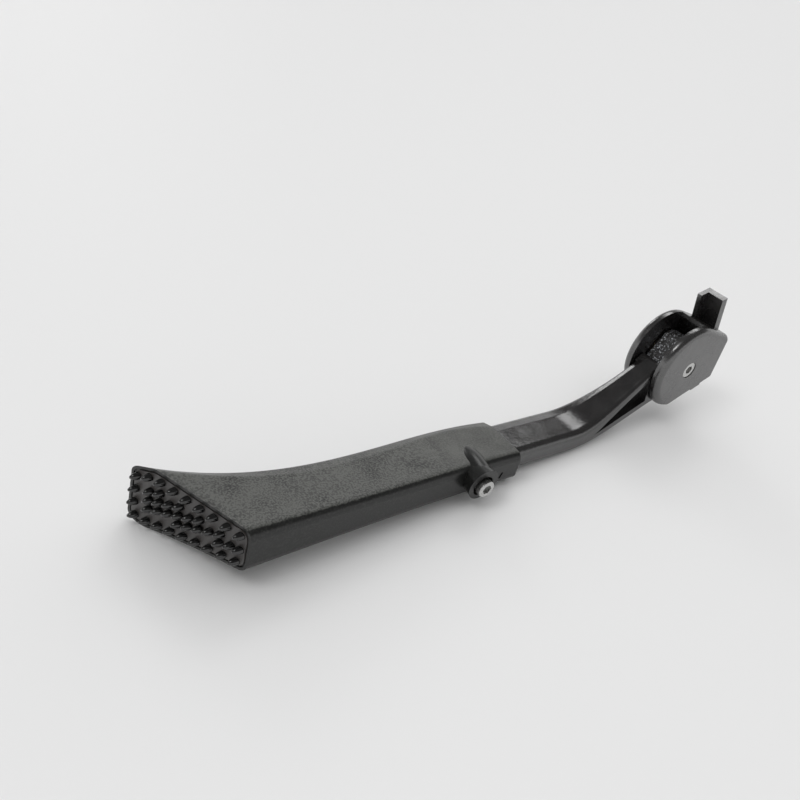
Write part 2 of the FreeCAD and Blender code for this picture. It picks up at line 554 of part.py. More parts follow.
for item in doc.Objects:
    if "Invalid" in item.State or "Error" in item.State:
        raise ValueError(item.Name + " failed")
os.makedirs("parts", exist_ok=True)
for piece in pieces:
    if piece.Shape.isNull() or not piece.Shape.isValid():
        raise ValueError(piece.Label + " has no valid shape")
    piece.Shape.exportStep("parts/%s.step" % piece.Label)
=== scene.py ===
"""Dresses the bicycle kickstand: finishes, threads, knurling, tread pegs, boss ridge, studio and camera."""

import json
import logging
import math
from dataclasses import dataclass, field
from enum import Enum

import bmesh
import bpy
from mathutils import Matrix, Vector

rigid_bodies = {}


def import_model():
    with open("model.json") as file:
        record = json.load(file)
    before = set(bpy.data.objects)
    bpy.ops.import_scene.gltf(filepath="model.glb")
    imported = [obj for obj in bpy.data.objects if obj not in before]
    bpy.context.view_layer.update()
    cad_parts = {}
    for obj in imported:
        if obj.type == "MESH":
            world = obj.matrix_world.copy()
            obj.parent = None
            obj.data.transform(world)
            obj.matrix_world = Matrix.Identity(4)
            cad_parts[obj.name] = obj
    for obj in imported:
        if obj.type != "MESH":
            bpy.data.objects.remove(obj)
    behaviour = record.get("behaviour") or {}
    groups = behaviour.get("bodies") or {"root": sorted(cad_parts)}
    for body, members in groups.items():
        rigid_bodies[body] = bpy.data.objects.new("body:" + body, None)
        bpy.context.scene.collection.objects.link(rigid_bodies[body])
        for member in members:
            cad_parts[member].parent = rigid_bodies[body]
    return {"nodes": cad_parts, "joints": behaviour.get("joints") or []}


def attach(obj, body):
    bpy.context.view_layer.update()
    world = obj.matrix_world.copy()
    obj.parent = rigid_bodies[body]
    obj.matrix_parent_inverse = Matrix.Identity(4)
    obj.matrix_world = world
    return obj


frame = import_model()
LOG = logging.getLogger("kickstand")
MM = 0.001
NOISE_MIDDLE = (0.3, 0.7)
SAME_SPOT = 1e-4


class Body(Enum):
    """Rigid bodies that the scene's own pieces ride on."""

    HEAD = "head"
    FOOT = "foot"


class Slot(Enum):
    """Record slots of the scene's own pieces."""

    MOULDED = "moulded_black"
    TREAD = "tread_black"
    STEEL = "steel"


@dataclass(frozen=True)
class StandFrame:
    """Working frame of the stand: X along the lower leg, Y along the pivot, Z out of the broad face.

    Its origin is the middle of the sleeve's open end, and its sizes are in millimetres.
    """

    pivot: tuple[float, float, float] = (134.2, 0.0, 39.2)

    def matrix(self) -> Matrix:
        """Transform from the working frame to the row frame.

        Returns:
            A matrix that takes millimetres of the working frame to metres of the row.
        """
        joints = {joint["name"]: joint for joint in frame["joints"]}
        along = Vector(joints["length_slide"]["axis"]).normalized()
        across = Vector(joints["leg_fold"]["axis"]).normalized()
        turn = Matrix((along, across, along.cross(across))).transposed()
        shift = Vector(joints["leg_fold"]["pos_m"]) - turn @ Vector(self.pivot) * MM
        return Matrix.Translation(shift) @ turn.to_4x4() @ Matrix.Scale(MM, 4)

    def point(self, x: float, y: float, z: float) -> Vector:
        """Row place, in metres, of a working-frame point in millimetres."""
        return self.matrix() @ Vector((x, y, z))

    def direction(self, x: float, y: float, z: float) -> Vector:
        """Row direction of a working-frame direction."""
        return (self.matrix().to_3x3() @ Vector((x, y, z))).normalized()


STAND = StandFrame()


class Shader:
    """Small helper that wires a material's nodes."""

    def __init__(self, name: str) -> None:
        """Starts a material with one Principled shader.

        Args:
            name: name of the material.
        """
        self.material = bpy.data.materials.new(name)
        self.material.use_nodes = True
        self.nodes = self.material.node_tree.nodes
        self.links = self.material.node_tree.links
        self.surface = self.nodes["Principled BSDF"]

    def add(self, kind: str, **values: object) -> bpy.types.Node:
        """Adds a node.

        Args:
            kind: Blender's type name of the node.
            values: node properties by name, and socket values by socket name with _ for spaces.

        Returns:
            The new node.
        """
        node = self.nodes.new(kind)
        for key, value in values.items():
            if hasattr(node, key):
                setattr(node, key, value)
            else:
                node.inputs[key.replace("_", " ")].default_value = value
        return node

    def join(self, source: bpy.types.NodeSocket, target: bpy.types.NodeSocket) -> None:
        """Links an output to an input."""
        self.links.new(source, target)

    def stand_coordinates(self) -> bpy.types.NodeSocket:
        """Object coordinates turned into the working frame, in millimetres.

        Returns:
            The vector output.
        """
        back = STAND.matrix().inverted()
        coordinates = self.add("ShaderNodeTexCoord")
        mapping = self.add("ShaderNodeMapping", vector_type="POINT")
        mapping.inputs["Location"].default_value = back.to_translation()
        mapping.inputs["Rotation"].default_value = back.to_euler()
        mapping.inputs["Scale"].default_value = back.to_scale()
        self.join(coordinates.outputs["Object"], mapping.inputs["Vector"])
        return mapping.outputs["Vector"]

    def split(self, vector: bpy.types.NodeSocket) -> bpy.types.bpy_prop_collection:
        """Outputs X, Y and Z of a vector."""
        node = self.add("ShaderNodeSeparateXYZ")
        self.join(vector, node.inputs["Vector"])
        return node.outputs

    def noise(self, vector: bpy.types.NodeSocket, grain_mm: float, detail: float) -> bpy.types.NodeSocket:
        """Noise of a given grain over working-frame coordinates.

        Args:
            vector: coordinates in millimetres.
            grain_mm: size of a grain.
            detail: octaves of finer noise.

        Returns:
            The noise factor.
        """
        node = self.add("ShaderNodeTexNoise", Scale=1.0 / grain_mm, Detail=detail)
        self.join(vector, node.inputs["Vector"])
        return node.outputs["Fac"]

    def ramp(self, value: bpy.types.NodeSocket, low: float, high: float, start: float,
             end: float) -> bpy.types.NodeSocket:
        """Smooth change from one number to another.

        Args:
            value: driving value.
            low: driving value where the change starts.
            high: driving value where it ends.
            start: result at the start.
            end: result at the end.

        Returns:
            The changed value.
        """
        node = self.add("ShaderNodeMapRange", interpolation_type="SMOOTHSTEP")
        for name, number in (("From Min", low), ("From Max", high), ("To Min", start), ("To Max", end)):
            node.inputs[name].default_value = number
        self.join(value, node.inputs["Value"])
        return node.outputs["Result"]

    def math(self, operation: str, first: bpy.types.NodeSocket,
             second: bpy.types.NodeSocket | float) -> bpy.types.NodeSocket:
        """One arithmetic step.

        Args:
            operation: Blender's name of the operation.
            first: first operand.
            second: second operand, a socket or a number.

        Returns:
            The result.
        """
        node = self.add("ShaderNodeMath", operation=operation)
        self.join(first, node.inputs[0])
        if isinstance(second, float):
            node.inputs[1].default_value = second
        else:
            self.join(second, node.inputs[1])
        return node.outputs["Value"]

    def colours(self, value: bpy.types.NodeSocket, *stops: tuple[float, tuple[float, float, float]]) -> None:
        """Base colour that varies between tones.

        Args:
            value: driving value from 0 to 1.
            stops: driving value and colour of each tone, the lowest first and the last at 1.
        """
        ramp = self.add("ShaderNodeValToRGB")
        while len(ramp.color_ramp.elements) < len(stops):
            ramp.color_ramp.elements.new(0.5)
        for element, (position, tone) in zip(ramp.color_ramp.elements, stops):
            element.position = position
            element.color = (*tone, 1.0)
        self.join(value, ramp.inputs["Fac"])
        self.join(ramp.outputs["Color"], self.surface.inputs["Base Color"])

    def bump(self, height: bpy.types.NodeSocket, distance_mm: float, strength: float) -> None:
        """Relief on the surface.

        Args:
            height: relief height from 0 to 1.
            distance_mm: full height of the relief.
            strength: share of the relief that shows.
        """
        node = self.add("ShaderNodeBump", Strength=strength, Distance=distance_mm * MM)
        self.join(height, node.inputs["Height"])
        self.join(node.outputs["Normal"], self.surface.inputs["Normal"])


@dataclass(frozen=True)
class CastCoat:
    """Gloss black coat over cast metal, crinkled where the casting is left rough, with painted glints there.
    """

    name: str
    dark: tuple[float, float, float] = (0.006, 0.0055, 0.0055)
    light: tuple[float, float, float] = (0.016, 0.015, 0.015)
    # painted highlight: colour of the light specks painted on the crinkled casting as glints
    painted_glint_colour: tuple[float, float, float] = (0.62, 0.64, 0.68)
    glint: float = 9.0
    roughness: tuple[float, float] = (0.17, 0.25)
    reflection: float = 1.9
    cloud_mm: float = 9.0
    wave_mm: float = 11.0
    wave_share: float = 0.2
    peel_mm: float = 1.6
    peel_share: float = 0.1
    relief_mm: float = 1.6
    relief_share: float = 0.55
    crinkle_radius: float = 0.0
    crinkle_edge: tuple[float, float] = (-0.8, 1.2)
    crinkle_mm: float = 1.7
    crinkle_share: float = 2.2
    crinkle_dull: float = 0.12
    glint_mm: float = 1.0
    glint_range: tuple[float, float] = (0.55, 0.66)
    tone_scale: float = 0.1

    def material(self) -> bpy.types.Material:
        """Builds the coat.

        Returns:
            The finished material.
        """
        shader = Shader(self.name)
        place = shader.stand_coordinates()
        clouds = shader.noise(place, self.cloud_mm, detail=3.0)
        tone = clouds
        gloss = shader.ramp(clouds, *NOISE_MIDDLE, *self.roughness)
        peel = shader.math("MULTIPLY", shader.noise(place, self.peel_mm, detail=2.0), self.peel_share)
        waves = shader.math("MULTIPLY", shader.noise(place, self.wave_mm, detail=1.0), self.wave_share)
        height = shader.math("ADD", peel, waves)
        if self.crinkle_radius:
            rough = self.rough_area(shader, place)
            folds = shader.noise(place, self.crinkle_mm, detail=5.0)
            crinkle = shader.math("MULTIPLY", folds, self.crinkle_share)
            height = shader.math("ADD", height, shader.math("MULTIPLY", crinkle, rough))
            gloss = shader.math("ADD", gloss, shader.math("MULTIPLY", rough, self.crinkle_dull))
            # Painted highlights: light specks in the base colour on the crinkled area stand in for glints.
            painted_glint_spots = shader.noise(place, self.glint_mm, detail=2.0)
            glints = shader.ramp(painted_glint_spots, *self.glint_range, 0.0, self.glint)
            tone = shader.math("ADD", clouds, shader.math("MULTIPLY", glints, rough))
        shader.colours(shader.math("MULTIPLY", tone, self.tone_scale), (0.0, self.dark),
                       (self.tone_scale, self.light), (1.0, self.painted_glint_colour))
        shader.join(gloss, shader.surface.inputs["Roughness"])
        shader.surface.inputs["IOR"].default_value = self.reflection
        shader.bump(height, self.relief_mm, self.relief_share)
        return shader.material

    def rough_area(self, shader: Shader, place: bpy.types.NodeSocket) -> bpy.types.NodeSocket:
        """Share of rough casting, full near the pivot's axis.

        Args:
            shader: material in the making.
            place: working-frame coordinates.

        Returns:
            The share from 0 to 1.
        """
        split = shader.split(place)
        over_x = shader.math("SUBTRACT", split["X"], STAND.pivot[0])
        over_z = shader.math("SUBTRACT", split["Z"], STAND.pivot[2])
        square = shader.math("ADD", shader.math("POWER", over_x, 2.0), shader.math("POWER", over_z, 2.0))
        inner, outer = (self.crinkle_radius + step for step in self.crinkle_edge)
        return shader.ramp(shader.math("SQRT", square, 0.0), inner, outer, 1.0, 0.0)


@dataclass(frozen=True)
class MouldedPlastic:
    """Black moulded plastic, grained on its broad faces and smoother at its edges and boss, with painted
    shade darkening its sides.
    """

    name: str
    dark: tuple[float, float, float] = (0.008, 0.0083, 0.0078)
    light: tuple[float, float, float] = (0.088, 0.09, 0.083)
    roughness: tuple[float, float] = (0.3, 0.42)
    # base-colour factors for sides and broad faces: sides darkened as painted shade, broad faces lighter with
    # the grain
    grain_tone_and_side_shade: tuple[float, float] = (0.05, 1.5)
    pit_tones: tuple[float, float] = (-0.45, 0.45)
    grain_fade: tuple[float, float] = (-75.0, -25.0)
    boss_reach: tuple[float, float] = (-48.0, -42.0)
    boss_rise: tuple[float, float] = (9.6, 10.0)
    cloud_mm: float = 14.0
    broad_lean: tuple[float, float] = (0.82, 0.97)
    side_share: float = 0.25
    grain_mm: float = 0.95
    grain_depth_mm: float = 0.2
    grain_share: float = 0.8
    pit_range: tuple[float, float] = (0.38, 0.66)
    faded_share: float = 0.4
    mark_edge: tuple[float, float] = (-0.3, 0.1)
    mark_depth: float = 0.9
    marks: tuple[tuple[float, float, float], ...] = ()

    def material(self) -> bpy.types.Material:
        """Builds the plastic.

        Returns:
            The finished material.
        """
        shader = Shader(self.name)
        place = shader.stand_coordinates()
        along = shader.split(place)["X"]
        clouds = shader.noise(place, self.cloud_mm, detail=4.0)
        grain = shader.noise(place, self.grain_mm, detail=3.0)
        broad = self.broad_area(shader, place)
        fade = shader.math("MULTIPLY", broad, shader.ramp(along, *self.grain_fade, 1.0, self.faded_share))
        pits = shader.math("MULTIPLY", shader.ramp(grain, *self.pit_range, *self.pit_tones), fade)
        # Sides darker than broad faces in the base colour: partly the grain, partly painted shade.
        shade = shader.math("MULTIPLY", clouds, shader.ramp(broad, self.side_share, 1.0, *self.grain_tone_and_side_shade))
        shader.colours(shader.math("ADD", shade, pits), (0.0, self.dark), (1.0, self.light))
        height = shader.math("MULTIPLY", grain, fade)
        for mark in self.marks:
            dip = self.mark(shader, place, *mark)
            height = shader.math("ADD", height, shader.math("MULTIPLY", dip, broad))
        gloss = shader.ramp(broad, self.side_share, 1.0, *self.roughness)
        shader.join(gloss, shader.surface.inputs["Roughness"])
        shader.bump(height, self.grain_depth_mm, self.grain_share)
        return shader.material

    def broad_area(self, shader: Shader, place: bpy.types.NodeSocket) -> bpy.types.NodeSocket:
        """Share of broad face: full on flat faces, small on sides, edges and the boss's back.

        Args:
            shader: material in the making.
            place: working-frame coordinates.

        Returns:
            The share from 0 to 1.
        """
        lean = shader.add("ShaderNodeVectorMath", operation="DOT_PRODUCT")
        lean.inputs[1].default_value = STAND.direction(0, 0, 1)
        shader.join(shader.add("ShaderNodeTexCoord").outputs["Normal"], lean.inputs[0])
        facing = shader.math("ABSOLUTE", lean.outputs["Value"], 0.0)
        broad = shader.ramp(facing, *self.broad_lean, self.side_share, 1.0)
        split = shader.split(place)
        footward = shader.ramp(split["X"], *self.boss_reach, 1.0, 0.0)
        low = shader.ramp(split["Z"], *self.boss_rise, 1.0, self.side_share)
        return shader.math("MULTIPLY", broad, shader.math("MAXIMUM", footward, low))

    def mark(self, shader: Shader, place: bpy.types.NodeSocket, x: float, y: float,
             radius: float) -> bpy.types.NodeSocket:
        """Shallow round moulding mark.

        Args:
            shader: material in the making.
            place: working-frame coordinates.
            x: place along the leg.
            y: place across the leg.
            radius: radius of the mark.

        Returns:
            Relief height, below zero inside the mark.
        """
        level = shader.add("ShaderNodeVectorMath", operation="MULTIPLY")
        level.inputs[1].default_value = (1.0, 1.0, 0.0)
        shader.join(place, level.inputs[0])
        away = shader.add("ShaderNodeVectorMath", operation="DISTANCE")
        away.inputs[1].default_value = (x, y, 0.0)
        shader.join(level.outputs["Vector"], away.inputs[0])
        inner, outer = (radius + step for step in self.mark_edge)
        return shader.ramp(away.outputs["Value"], inner, outer, -self.mark_depth, 0.0)


@dataclass(frozen=True)
class TreadPlastic:
    """Satin plate of the tread with glossy black spikes."""

    name: str
    spot: tuple[float, float, float] = (-167.0, -17.6, 11.6)
    skew: float = 22.0
    plate: tuple[float, float, float] = (0.042, 0.038, 0.036)
    spike: tuple[float, float, float] = (0.004, 0.0038, 0.0038)
    roughness: tuple[float, float] = (0.42, 0.12)
    tilt: float = 0.0175
    spike_foot: tuple[float, float] = (0.1, 0.5)
    grain_mm: float = 1.2
    grain_share: float = 0.12
    reflection: float = 1.7
    relief_mm: float = 0.05
    relief_share: float = 0.4

    def material(self) -> bpy.types.Material:
        """Builds the plastic, told apart by the height over the plate.

        Returns:
            The finished material.
        """
        shader = Shader(self.name)
        place = shader.stand_coordinates()
        turn = math.radians(self.skew)
        outward = Vector((-math.cos(turn), -math.sin(turn), self.tilt)).normalized()
        over = shader.add("ShaderNodeVectorMath", operation="DOT_PRODUCT")
        over.inputs[1].default_value = outward
        shader.join(place, over.inputs[0])
        level = outward.dot(Vector(self.spot))
        low, high = (level + step for step in self.spike_foot)
        raised = shader.ramp(over.outputs["Value"], low, high, 0.0, 1.0)
        grain = shader.noise(place, self.grain_mm, detail=3.0)
        tone = shader.math("ADD", raised, shader.math("MULTIPLY", grain, self.grain_share))
        shader.colours(tone, (0.0, self.plate), (1.0, self.spike))
        shader.join(shader.ramp(raised, 0.0, 1.0, *self.roughness), shader.surface.inputs["Roughness"])
        shader.surface.inputs["IOR"].default_value = self.reflection
        shader.bump(grain, self.relief_mm, self.relief_share)
        return shader.material


@dataclass(frozen=True)
class TurnedMetal:
    """Bare turned metal with fine tool lines."""

    name: str
    colour: tuple[float, float, float]
    roughness: tuple[float, float] = (0.22, 0.4)
    stretch: tuple[float, float, float] = (1.0, 8.0, 1.0)
    line_mm: float = 1.2
    line_shade: float = 0.82
    relief_mm: float = 0.04
    relief_share: float = 0.4

    def material(self) -> bpy.types.Material:
        """Builds the metal.

        Returns:
            The finished material.
        """
        shader = Shader(self.name)
        place = shader.stand_coordinates()
        stretch = shader.add("ShaderNodeMapping")
        stretch.inputs["Scale"].default_value = self.stretch
        shader.join(place, stretch.inputs["Vector"])
        lines = shader.noise(stretch.outputs["Vector"], self.line_mm, detail=3.0)
        shaded = tuple(self.line_shade * tone for tone in self.colour)
        shader.colours(lines, (0.0, shaded), (1.0, self.colour))
        gloss = shader.ramp(lines, *NOISE_MIDDLE, *self.roughness)
        shader.join(gloss, shader.surface.inputs["Roughness"])
        shader.surface.inputs["Metallic"].default_value = 1.0
        shader.bump(lines, self.relief_mm, self.relief_share)
        return shader.material


class Recipe:
    """Geometry Nodes tree with named inputs, baked to a plain mesh."""

    def __init__(self, name: str, sizes: dict[str, float]) -> None:
        """Starts a tree.

        Args:
            name: name of the tree.
            sizes: named inputs and their values.
        """
        self.tree = bpy.data.node_groups.new(name, "GeometryNodeTree")
        self.sizes = sizes
        self.tree.interface.new_socket("Geometry", in_out="INPUT", socket_type="NodeSocketGeometry")
        self.ids: dict[str, str] = {}
        for title in sizes:
            socket = self.tree.interface.new_socket(title, in_out="INPUT", socket_type="NodeSocketFloat")
            self.ids[title] = socket.identifier
        self.tree.interface.new_socket("Geometry", in_out="OUTPUT", socket_type="NodeSocketGeometry")
        self.entry = self.tree.nodes.new("NodeGroupInput")

    def add(self, kind: str, **links: object) -> bpy.types.Node:
        """Adds a node and feeds its inputs.

        Args:
            kind: Blender's type name of the node.
            links: for each socket, with _ for spaces: an output socket, the name of a tree input or a value.

        Returns:
            The new node.
        """
        node = self.tree.nodes.new(kind)
        for key, value in links.items():
            socket = node.inputs[key.replace("_", " ")]
            if isinstance(value, str):
                self.tree.links.new(self.entry.outputs[value], socket)
            elif isinstance(value, bpy.types.NodeSocket):
                self.tree.links.new(value, socket)
            else:
                socket.default_value = value
        return node

    def bake(self, name: str, spots: list[Vector], shape: bpy.types.NodeSocket,
             material: bpy.types.Material, place: Matrix) -> bpy.types.Object:
        """Sets the shape on every spot and turns the result into a plain mesh.

        Args:
            name: name of the piece.
            spots: places of the copies, before the common transform.
            shape: geometry to copy.
            material: finish of the piece.
            place: transform that takes the result to the row frame.

        Returns:
            The baked piece, at the origin with its place in its mesh.
        """
        copies = self.add("GeometryNodeInstanceOnPoints", Points="Geometry", Instance=shape)
        whole = self.add("GeometryNodeRealizeInstances", Geometry=copies.outputs["Instances"])
        dressed = self.add("GeometryNodeSetMaterial", Geometry=whole.outputs["Geometry"], Material=material)
        leave = self.tree.nodes.new("NodeGroupOutput")
        self.tree.links.new(dressed.outputs["Geometry"], leave.inputs["Geometry"])
        seed = bpy.data.meshes.new(name + "_spots")
        seed.from_pydata(spots, [], [])
        maker = bpy.data.objects.new(name + "_maker", seed)
        bpy.context.scene.collection.objects.link(maker)
        modifier = maker.modifiers.new("recipe", "NODES")
        modifier.node_group = self.tree
        for title, value in self.sizes.items():
            modifier[self.ids[title]] = value
        graph = bpy.context.evaluated_depsgraph_get()
        mesh = bpy.data.meshes.new_from_object(maker.evaluated_get(graph), depsgraph=graph)
        bpy.data.objects.remove(maker)
        mesh.name = name
        mesh.transform(place)
        piece = bpy.data.objects.new(name, mesh)
        bpy.context.scene.collection.objects.link(piece)
        return piece


def hand_over(piece: bpy.types.Object, body: Body) -> None:
    """Ties a new piece to its body.

    Args:
        piece: the finished piece.
        body: body it moves with.
    """
    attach(piece, body.value)
    LOG.info("%s rides on %s", piece.name, body.value)


def dress(node: str, material: bpy.types.Material) -> None:
    """Gives a CAD node its finish.

    Args:
        node: name of the node.
        material: its finish.
    """
    mesh = frame["nodes"][node].data
    mesh.materials.clear()
    mesh.materials.append(material)
    LOG.info("%s finished in %s", node, material.name)


@dataclass
class Head:
    """Clevis bracket with its pin, nut, detent and mount holes."""

    face_x: float = 163.0
    hole_pitch: float = 18.0
    hole_z: float = 49.5
    hole_radius: float = 2.5
    hole_depth: float = 11.0
    thread_pitch: float = 1.0
    thread_height: float = 0.34
    thread_start: float = 0.8
    thread_spare: float = 2.0
    turn_steps: int = 24
    ridge_sides: int = 5
    coat: CastCoat = field(default_factory=lambda: CastCoat(
        "bracket_coat", roughness=(0.2, 0.3), reflection=2.2))

    def build(self, steel: bpy.types.Material) -> None:
        """Dresses the bracket and its small parts.

        Args:
            steel: finish of the pin, nut and detent.
        """
        coat = self.coat.material()
        dress("bracket", coat)
        for node in ("pivot_pin", "pivot_nut", "detent_plunger", "detent_spring"):
            dress(node, steel)
        hand_over(self.threads(steel), Body.HEAD)

    def threads(self, steel: bpy.types.Material) -> bpy.types.Object:
        """Thread ridges in both mount holes.

        Args:
            steel: bare metal of the cut thread.

        Returns:
            The baked thread.
        """
        turns = (self.hole_depth - self.thread_spare) / self.thread_pitch
        recipe = Recipe("mount_thread", {"Radius": self.hole_radius, "Height": self.thread_height,
                                         "Length": turns * self.thread_pitch, "Turns": turns})
        path = recipe.add("GeometryNodeCurveSpiral", Resolution=self.turn_steps, Rotations="Turns",
                          Start_Radius="Radius", End_Radius="Radius", Height="Length")
        profile = recipe.add("GeometryNodeCurvePrimitiveCircle", Resolution=self.ridge_sides, Radius="Height")
        ridge = recipe.add("GeometryNodeCurveToMesh", Curve=path.outputs["Curve"],
                           Profile_Curve=profile.outputs["Curve"])
        laid = recipe.add("GeometryNodeTransform", Geometry=ridge.outputs["Mesh"],
                          Rotation=(0.0, math.radians(90), 0.0))
        start = self.face_x - self.hole_depth + self.thread_start
        spots = [Vector((start, side * self.hole_pitch / 2, self.hole_z)) for side in (-1, 1)]
        return recipe.bake("mount_threads", spots, laid.outputs["Geometry"], steel, STAND.matrix())


@dataclass
class Leg:
    """Cast leg with its crinkled knuckle and two bushes."""

    coat: CastCoat = field(default_factory=lambda: CastCoat("leg_coat", crinkle_radius=16.0))

    def build(self, brass: bpy.types.Material) -> None:
        """Dresses the leg and its bushes.

        Args:
            brass: finish of the bushes.
        """
        dress("leg", self.coat.material())
        for node in ("bush_near", "bush_far"):
            dress(node, brass)


@dataclass
class Foot:
    """Sliding sleeve with its tread, clamp screw and insert."""

    screw_x: float = -31.5
    screw_z: float = 0.8
    head_top_y: float = -25.2
    head_radius: float = 5.0
    knurl_length: float = 4.8
    knurl_count: int = 40
    knurl_radius: float = 0.2
    knurl_start: float = 0.6
    rib_sides: int = 5
    spike_width: float = 2.0
    end_facing: float = 0.99
    peg_radius: float = 2.05
    peg_height: float = 4.55
    peg_root: float = 1.4
    peg_segments: int = 16
    peg_rings: int = 10
    ridge_start: tuple[float, float, float] = (-31.2, -17.0, 2.1)
    ridge_end: tuple[float, float, float] = (-27.0, 3.0, 2.4)
    ridge_radii: tuple[float, ...] = (8.75, 8.85, 8.95, 8.95, 8.85, 8.6, 8.2, 7.6, 6.8)
    ridge_steps: int = 33
    ridge_crease: float = 40.0
    wall_inside: tuple[float, float] = (-11.0, 8.4)
    wall_slope: float = 1.05
    wall_lowest: float = 3.0
    plastic: MouldedPlastic = field(default_factory=lambda: MouldedPlastic(
        "sleeve_plastic", marks=((-128.0, -8.0, 2.6), (-100.0, -12.0, 0.8))))
    tread: TreadPlastic = field(default_factory=lambda: TreadPlastic("tread_plastic"))

    def build(self, steel: bpy.types.Material, brass: bpy.types.Material) -> None:
        """Dresses the sleeve, tread, screw and insert.

        Args:
            steel: finish of the screw.
            brass: finish of the insert.
        """
        plastic = self.plastic.material()
        tread = self.tread.material()
        dress("sleeve", plastic)
        dress("tread_pad", tread)
        dress("clamp_screw", steel)
        dress("clamp_insert", brass)
        hand_over(self.knurling(steel), Body.FOOT)
        hand_over(self.pegs(tread), Body.FOOT)
        hand_over(self.boss_ridge(plastic), Body.FOOT)

    def spike_tips(self) -> list[Vector]:
        """Points of the tread's spikes, found from their flat ends.

        Returns:
            Middle of each spike's end in the working frame.
        """
        back = STAND.matrix().inverted()
        mesh = frame["nodes"]["tread_pad"].data
        ends: list[list[Vector]] = []
        outward = STAND.direction(-1, 0, 0)
        for face in mesh.polygons:
            if face.normal.dot(outward) < self.end_facing:
                continue
            for index in face.vertices:
                spot = back @ mesh.vertices[index].co
                group = next((end for end in ends if (end[0] - spot).length < self.spike_width), None)
                if group is None:
                    ends.append([spot])
                elif all((spot - known).length > SAME_SPOT for known in group):
                    group.append(spot)
        return [sum(end, Vector()) / len(end) for end in ends]

    def pegs(self, tread: bpy.types.Material) -> bpy.types.Object:
        """Full, domed bodies round the tread's spikes.

        Args:
            tread: finish of the tread.

        Returns:
            The baked pegs.
        """
        recipe = Recipe("tread_peg", {"Radius": self.peg_radius, "Root": self.peg_root,
                                      "Tip": -self.peg_height, "Stretch": self.peg_height / self.peg_radius})
        ball = recipe.add("GeometryNodeMeshUVSphere", Segments=self.peg_segments, Rings=self.peg_rings,
                          Radius="Radius")
        smooth = recipe.add("GeometryNodeSetShadeSmooth", Geometry=ball.outputs["Mesh"])
        stretch = recipe.add("ShaderNodeCombineXYZ", X=1.0, Y=1.0, Z="Stretch")
        tall = recipe.add("GeometryNodeTransform", Geometry=smooth.outputs["Geometry"],
                          Rotation=(0.0, math.radians(90), 0.0), Scale=stretch.outputs["Vector"])
        spot = recipe.add("GeometryNodeInputPosition")
        parts = recipe.add("ShaderNodeSeparateXYZ", Vector=spot.outputs["Position"])
        depth = recipe.add("ShaderNodeClamp", Value=parts.outputs["X"], Min="Tip", Max="Root")
        moved = recipe.add("ShaderNodeCombineXYZ", X=depth.outputs["Result"], Y=parts.outputs["Y"],
                           Z=parts.outputs["Z"])
        rooted = recipe.add("GeometryNodeSetPosition", Geometry=tall.outputs["Geometry"],
                            Position=moved.outputs["Vector"])
        spots = [tip + Vector((self.peg_height, 0, 0)) for tip in self.spike_tips()]
        return recipe.bake("tread_pegs", spots, rooted.outputs["Geometry"], tread, STAND.matrix())

    def boss_ridge(self, plastic: bpy.types.Material) -> bpy.types.Object:
        """Rounded back of the clamp boss that runs out over the broad face.

        Args:
            plastic: finish of the sleeve.

        Returns:
            The ridge.
        """
        steps = self.ridge_steps
        start, end = Vector(self.ridge_start), Vector(self.ridge_end)
        along = (end - start).normalized()
        aside = along.cross(Vector((0, 0, 1))).normalized()
        above = aside.cross(along)
        rows = len(self.ridge_radii)
        edge, top = self.wall_inside
        spots: list[Vector] = []
        for row, radius in enumerate(self.ridge_radii):
            middle = start.lerp(end, row / (rows - 1))
            lowest = max(top - self.wall_slope * max(edge - middle.y, 0.0), self.wall_lowest)
            dip = math.asin((lowest - middle.z) / radius)
            for step in range(steps):
                turn = dip + (math.pi - 2 * dip) * step / (steps - 1)
                spots.append(middle + radius * (math.cos(turn) * aside + math.sin(turn) * above))
        faces = [(row * steps + step, row * steps + (step + 1) % steps,
                  (row + 1) * steps + (step + 1) % steps, (row + 1) * steps + step)
                 for row in range(rows - 1) for step in range(steps)]
        faces += [tuple(reversed(range(steps))), tuple(range((rows - 1) * steps, rows * steps))]
        mesh = bpy.data.meshes.new("boss_ridge")
        mesh.from_pydata(spots, [], faces)
        solid = bmesh.new()
        solid.from_mesh(mesh)
        bmesh.ops.recalc_face_normals(solid, faces=solid.faces)
        for face in solid.faces:
            face.smooth = len(face.verts) == 4
        for rim in solid.edges:
            rim.smooth = rim.calc_face_angle() < math.radians(self.ridge_crease)
        solid.to_mesh(mesh)
        solid.free()
        mesh.transform(STAND.matrix())
        mesh.materials.append(plastic)
        piece = bpy.data.objects.new("boss_ridge", mesh)
        bpy.context.scene.collection.objects.link(piece)
        return piece

    def knurling(self, steel: bpy.types.Material) -> bpy.types.Object:
        """Fine ribs round the clamp screw's head.

        Args:
            steel: finish of the screw.

        Returns:
            The baked ribs.
        """
        recipe = Recipe("head_knurl", {"Rib": self.knurl_radius, "Length": self.knurl_length})
        rib = recipe.add("GeometryNodeMeshCylinder", Vertices=self.rib_sides, Radius="Rib", Depth="Length")
        turns = [math.tau * number / self.knurl_count for number in range(self.knurl_count)]
        spots = [Vector((self.head_radius * math.cos(turn), self.head_radius * math.sin(turn), 0.0))
                 for turn in turns]
        middle_y = self.head_top_y + self.knurl_start + self.knurl_length / 2
        middle = Vector((self.screw_x, middle_y, self.screw_z))
        place = STAND.matrix() @ Matrix.Translation(middle) @ Matrix.Rotation(math.radians(90), 4, "X")
        return recipe.bake("screw_knurl", spots, rib.outputs["Mesh"], steel, place)


